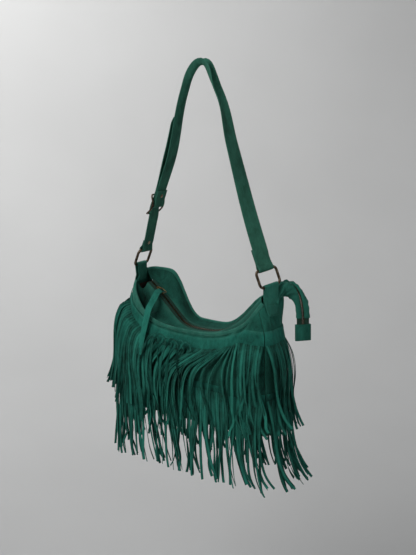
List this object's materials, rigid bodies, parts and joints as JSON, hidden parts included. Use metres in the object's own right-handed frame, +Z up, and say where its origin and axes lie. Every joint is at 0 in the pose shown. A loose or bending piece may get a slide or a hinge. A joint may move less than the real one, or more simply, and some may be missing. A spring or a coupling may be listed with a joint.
{
  "type": "fringed suede shoulder bag",
  "caption": "Slouchy green suede hobo bag with two rows of long fringe, a shoulder strap with a pin buckle, bronze rings and a zip with a free tail, hung from a hook.",
  "frame": {"origin": "under the top bend of the shoulder strap, where a hook holds the bag", "axes": "+Z up, +X along the bag's mouth from the buckle end to the end with the zip's tail, -Y out of the low front side"},
  "size_m": [0.4857, 0.159, 0.9134],
  "materials": {
    "green_suede": "napped",
    "fringe_suede": "napped",
    "strap_suede": "napped",
    "antique_bronze": "antiqued",
    "zip_brass": "satin",
    "zip_tape": "woven",
    "brown_lining": "woven"
  },
  "bodies": {
    "bag": {"back_panel": "green_suede", "base_panel": "green_suede", "billet_rivet": "antique_bronze", "billet_strap": "strap_suede", "buckle_frame": "antique_bronze", "buckle_tongue": "antique_bronze", "fringe_lower_back": "fringe_suede", "fringe_lower_front": "fringe_suede", "fringe_lower_left": "fringe_suede", "fringe_lower_right": "fringe_suede", "fringe_upper_back": "fringe_suede", "fringe_upper_front": "fringe_suede", "fringe_upper_left": "fringe_suede", "fringe_upper_right": "fringe_suede", "front_panel": "green_suede", "gusset_left": "green_suede", "gusset_right": "green_suede", "lining": "brown_lining", "ring_tab_left": "green_suede", "ring_tab_right": "green_suede", "rolled_edge_back": "green_suede", "rolled_edge_front": "green_suede", "shoulder_strap": "strap_suede", "strap_rivet": "antique_bronze", "zip_end_tab": "green_suede", "zip_panel_back": "green_suede", "zip_panel_front": "green_suede", "zip_tape_back": "zip_tape", "zip_tape_front": "zip_tape", "zip_teeth_back": "zip_brass", "zip_teeth_front": "zip_brass"},
    "ring_left": {"ring_left": "antique_bronze"},
    "ring_right": {"ring_right": "antique_bronze"},
    "zip_slider": {"zip_slider": "zip_brass", "zip_pull": "strap_suede"},
    "zip_puller": {"zip_puller": "zip_brass"}
  },
  "joints": [
    {"name": "ring_left_swing", "type": "hinge", "parent": "bag", "child": "ring_left", "pos_m": [-0.169, 0, -0.442], "axis": [0, -1, 0], "range_deg": [-20, 30], "deforming": ["billet_strap"]},
    {"name": "ring_right_swing", "type": "hinge", "parent": "bag", "child": "ring_right", "pos_m": [0.169, 0, -0.457], "axis": [0.48, 0.8562, 0.191], "range_deg": [-20, 30], "deforming": ["shoulder_strap"]},
    {"name": "zip_slide", "type": "slide", "parent": "bag", "child": "zip_slider", "axis": [0.7121, 0, -0.702], "range_m": [0, 0.08], "deforming": ["zip_pull"]},
    {"name": "puller_swing", "type": "hinge", "parent": "zip_slider", "child": "zip_puller", "pos_m": [-0.11736, 0, -0.49422], "axis": [0, 1, 0], "range_deg": [-100, 0], "deforming": ["zip_pull"]}
  ]
}
